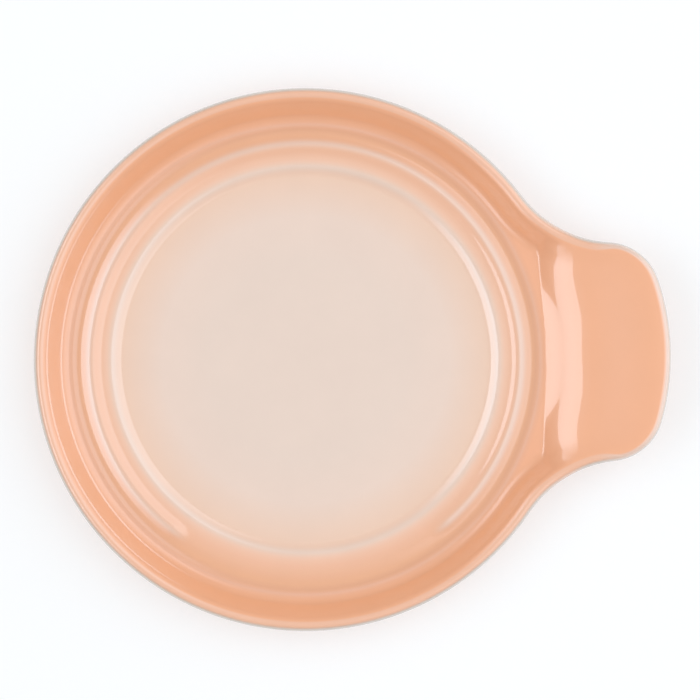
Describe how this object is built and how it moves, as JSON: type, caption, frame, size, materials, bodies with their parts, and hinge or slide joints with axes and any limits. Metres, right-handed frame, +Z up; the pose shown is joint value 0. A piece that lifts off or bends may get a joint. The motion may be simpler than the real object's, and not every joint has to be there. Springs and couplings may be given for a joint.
{
  "type": "spoon rest",
  "caption": "Round shallow stoneware spoon rest with concentric rings round its flat well, a rounded rim and a broad raised tongue for the spoon's handle.",
  "frame": {"origin": "centre of the bounding box's underside, on the table", "axes": "+X along the tongue, away from the dish; +Z up; +Y to the left of the tongue seen from the dish"},
  "size_m": [0.1524, 0.13, 0.0145],
  "materials": {
    "stoneware": "matt, unglazed on the foot ring",
    "colour_glaze": "gloss peach glaze, paler on the edges",
    "well_glaze": "gloss cream glaze, fading to peach at the rim of the well"
  },
  "bodies": {
    "root": {"stoneware_body": "stoneware", "colour_glaze": "colour_glaze", "well_glaze": "well_glaze", "base_glaze": "colour_glaze"}
  },
  "joints": []
}
